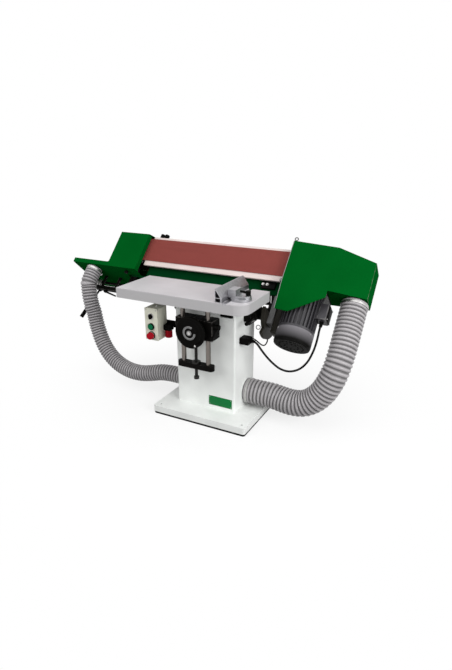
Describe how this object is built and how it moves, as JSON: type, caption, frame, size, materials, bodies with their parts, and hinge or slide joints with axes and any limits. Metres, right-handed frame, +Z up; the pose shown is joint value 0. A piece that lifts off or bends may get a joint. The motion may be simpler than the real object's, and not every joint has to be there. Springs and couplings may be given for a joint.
{
  "type": "edge sander",
  "caption": "Floor-standing edge sander with a tilting belt head under two dust hoods, a rising table with mitre fence, a sheet-steel stand and ribbed dust hoses",
  "frame": {"origin": "middle of the base's underside, on the floor", "axes": "+X along the belt to the drive end, +Y from the table to the back, +Z up"},
  "size_m": [1.813, 0.7618, 0.9052],
  "materials": {
    "white_paint": "smooth white powder coat",
    "rubber": "black rubber sheet",
    "zinc_steel": "turned and zinc-plated steel",
    "black_casting": "black painted steel and iron",
    "grey_paint": "light grey paint",
    "dark_grey_paint": "mid grey paint",
    "black_plastic": "black moulded plastic",
    "red_plastic": "red moulded plastic",
    "green_plastic": "green moulded plastic",
    "hose_grey": "grey ribbed soft plastic",
    "cable_black": "black rubber cable",
    "table_iron": "planed and painted cast iron",
    "bright_steel": "ground round steel",
    "oiled_steel": "black oiled steel",
    "aluminium": "bare aluminium",
    "graphite": "graphite cloth",
    "abrasive": "red-brown abrasive cloth",
    "green_paint": "gloss green paint",
    "dark_green_paint": "gloss green paint in shade",
    "motor_black": "black painted finned aluminium",
    "drum_aluminium": "turned aluminium drum"
  },
  "bodies": {
    "stand": {"base_pad": "rubber", "base_tray": "white_paint", "column": "white_paint", "column_door": "white_paint", "dust_outlet": "zinc_steel", "lift_housing": "black_casting", "gearbox_cover": "black_casting", "frame_bolts": "zinc_steel", "trunnions": "black_casting", "control_bracket": "black_casting", "control_box": "grey_paint", "control_lid": "grey_paint", "power_inlet": "black_plastic", "inlet_cap": "red_plastic", "cable_plug": "black_plastic", "left_hose": "hose_grey", "right_hose": "hose_grey", "motor_cable": "cable_black", "switch_cable": "cable_black"},
    "table": {"table_top": "table_iron", "guide_rods": "bright_steel", "tie_bar": "black_casting", "lift_nut": "oiled_steel"},
    "fence_slide": {"fence_base": "aluminium"},
    "fence": {"fence_bracket": "aluminium", "fence_profile": "aluminium"},
    "fence_lever": {"fence_lever": "black_plastic"},
    "handwheel": {"handwheel": "black_plastic", "dial_ring": "zinc_steel", "wheel_shaft": "zinc_steel"},
    "wheel_handle": {"wheel_handle": "black_plastic"},
    "screw": {"lead_screw": "oiled_steel"},
    "rod_lever": {"rod_lever": "black_plastic"},
    "tilt_lever": {"tilt_lever": "black_plastic"},
    "head": {"head_beam": "black_casting", "tilt_arms": "dark_grey_paint", "tilt_sector": "dark_grey_paint", "platen": "aluminium", "graphite_pad": "graphite", "sanding_belt": "abrasive", "left_hood": "green_paint", "right_hood": "green_paint", "lower_guard": "dark_green_paint", "motor_plate": "dark_grey_paint", "motor_body": "motor_black", "fan_cover": "motor_black", "terminal_box": "black_plastic", "cable_gland": "black_plastic", "tension_bar": "black_casting"},
    "drive": {"drive_drum": "zinc_steel", "motor_rotor": "zinc_steel"},
    "carriage": {"idler_carriage": "black_casting"},
    "idler": {"idler_drum": "drum_aluminium", "idler_bearings": "zinc_steel"},
    "tension_lever": {"tension_lever": "black_plastic"},
    "tracking_knob": {"tracking_knob": "black_plastic"},
    "tension_knob": {"tension_knob": "black_plastic"},
    "start_button": {"start_button": "green_plastic"},
    "stop_button": {"stop_button": "red_plastic"},
    "selector_knob": {"selector_knob": "black_plastic"}
  },
  "joints": [
    {"name": "head_tilt", "type": "hinge", "parent": "stand", "child": "head", "pos_m": [0, 0.117, 0.54], "axis": [-1, 0, 0], "range_deg": [-43, 47], "deforming": ["left_hose", "right_hose", "motor_cable", "switch_cable"]},
    {"name": "handwheel_turn", "type": "hinge", "parent": "stand", "child": "handwheel", "pos_m": [-0.03, -0.24, 0.507], "axis": [0, -1, 0], "range_deg": [-1351, 4501]},
    {"name": "screw_turn", "type": "hinge", "parent": "stand", "child": "screw", "pos_m": [-0.03, -0.178, 0.4], "axis": [0, 0, 1], "range_deg": [-1351, 4501]},
    {"name": "table_lift", "type": "slide", "parent": "stand", "child": "table", "axis": [0, 0, 1], "range_m": [-0.03, 0.1]},
    {"name": "handle_spin", "type": "hinge", "parent": "handwheel", "child": "wheel_handle", "pos_m": [0.02276, -0.25, 0.45949], "axis": [0, 1, 0], "continuous": true},
    {"name": "rod_lock", "type": "hinge", "parent": "stand", "child": "rod_lever", "pos_m": [0.086, -0.178, 0.537], "axis": [1, 0, 0], "range_deg": [0, 50]},
    {"name": "tilt_lock", "type": "hinge", "parent": "stand", "child": "tilt_lever", "pos_m": [0.203, -0.004, 0.562], "axis": [1, 0, 0], "range_deg": [0, 40]},
    {"name": "fence_travel", "type": "slide", "parent": "table", "child": "fence_slide", "axis": [0, 1, 0], "range_m": [-0.08, 0]},
    {"name": "fence_swivel", "type": "hinge", "parent": "fence_slide", "child": "fence", "pos_m": [0.212, -0.158, 0.69], "axis": [0, 0, 1], "range_deg": [0, 45]},
    {"name": "fence_lock", "type": "hinge", "parent": "fence", "child": "fence_lever", "pos_m": [0.246, -0.15, 0.71], "axis": [0, 0, 1], "range_deg": [-45, 45]},
    {"name": "drive_spin", "type": "hinge", "parent": "head", "child": "drive", "pos_m": [0.414, 0.11188, 0.54477], "axis": [0, 0.682, 0.7314], "continuous": true},
    {"name": "tension_swing", "type": "hinge", "parent": "head", "child": "tension_lever", "pos_m": [-0.955, 0.18232, 0.51327], "axis": [0, 0.7314, -0.682], "range_deg": [0, 40.1]},
    {"name": "idler_tension", "type": "slide", "parent": "head", "child": "carriage", "axis": [1, 0, 0], "range_m": [0, 0.01]},
    {"name": "idler_spin", "type": "hinge", "parent": "carriage", "child": "idler", "pos_m": [-0.684, 0.11188, 0.54477], "axis": [0, 0.682, 0.7314], "continuous": true},
    {"name": "tracking_turn", "type": "hinge", "parent": "head", "child": "tracking_knob", "pos_m": [-0.569, 0.3128, 0.80863], "axis": [0, 0.682, 0.7314], "range_deg": [-180, 180]},
    {"name": "tension_turn", "type": "hinge", "parent": "head", "child": "tension_knob", "pos_m": [-0.539, 0.3128, 0.80863], "axis": [0, 0.682, 0.7314], "range_deg": [-180, 180]},
    {"name": "start_press", "type": "slide", "parent": "stand", "child": "start_button", "axis": [0, 1, 0], "range_m": [0, 0.004], "stiffness_N_per_m": 800},
    {"name": "stop_press", "type": "slide", "parent": "stand", "child": "stop_button", "axis": [0, 1, 0], "range_m": [0, 0.006], "stiffness_N_per_m": 800},
    {"name": "selector_turn", "type": "hinge", "parent": "stand", "child": "selector_knob", "pos_m": [-0.285, -0.2, 0.544], "axis": [0, 1, 0], "range_deg": [0, 90]}
  ],
  "couplings": [
    {"joint": "screw_turn", "follows": "table_lift", "rad_per_m": 785.4},
    {"joint": "handwheel_turn", "follows": "table_lift", "rad_per_m": 785.4},
    {"joint": "idler_spin", "follows": "drive_spin", "ratio": 1},
    {"joint": "tension_swing", "follows": "idler_tension", "rad_per_m": 69.813}
  ]
}
